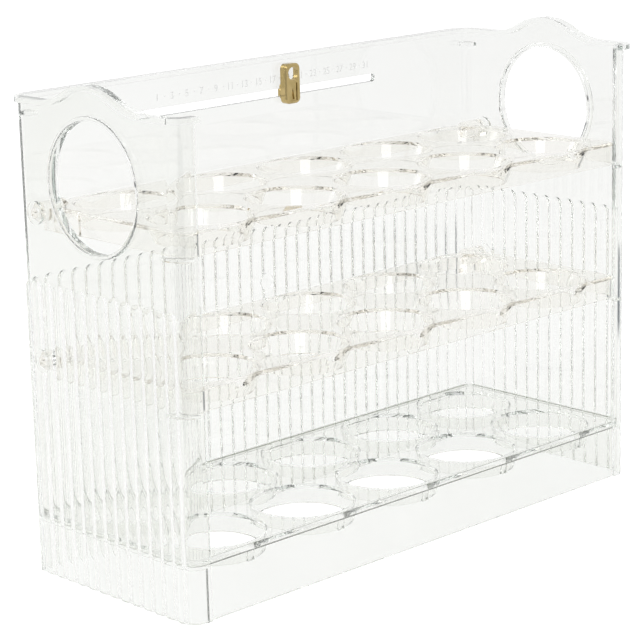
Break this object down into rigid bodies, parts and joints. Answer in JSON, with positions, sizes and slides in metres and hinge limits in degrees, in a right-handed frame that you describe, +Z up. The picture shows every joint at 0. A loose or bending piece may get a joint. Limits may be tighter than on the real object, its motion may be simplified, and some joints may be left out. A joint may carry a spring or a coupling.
{
  "type": "egg storage box",
  "caption": "Clear open-fronted egg box with reeded walls, a wavy lipped rim, round finger holes, a fixed lower cup tray, hinged flip-up cup trays and a gold date slider.",
  "frame": {"origin": "centre of the overall bounding box in plan, on the surface the box stands on", "axes": "+X to the right along the width as seen from the open front, +Y to the back wall, +Z up"},
  "size_m": [0.2644, 0.1024, 0.202],
  "materials": {
    "clear_body": "clear polished",
    "clear_tray": "clear polished, warm tint",
    "gold_slider": "polished gold"
  },
  "bodies": {
    "box": {"body_shell": "clear_body", "bottom_tray": "clear_body"},
    "middle_flip_tray": {"middle_tray": "clear_tray"},
    "upper_flip_tray": {"upper_tray": "clear_tray"},
    "slider": {"slider_plate": "gold_slider", "slider_clip": "gold_slider"}
  },
  "joints": [
    {"name": "upper_tray_flip", "type": "hinge", "parent": "box", "child": "upper_flip_tray", "pos_m": [0, 0.0374, 0.149], "axis": [-1, 0, 0], "range_deg": [0, 90]},
    {"name": "middle_tray_flip", "type": "hinge", "parent": "box", "child": "middle_flip_tray", "pos_m": [0, 0.0374, 0.0894], "axis": [-1, 0, 0], "range_deg": [0, 35]},
    {"name": "date_slider", "type": "slide", "parent": "box", "child": "slider", "axis": [1, 0, 0], "range_m": [-0.0773, 0.0489]}
  ]
}
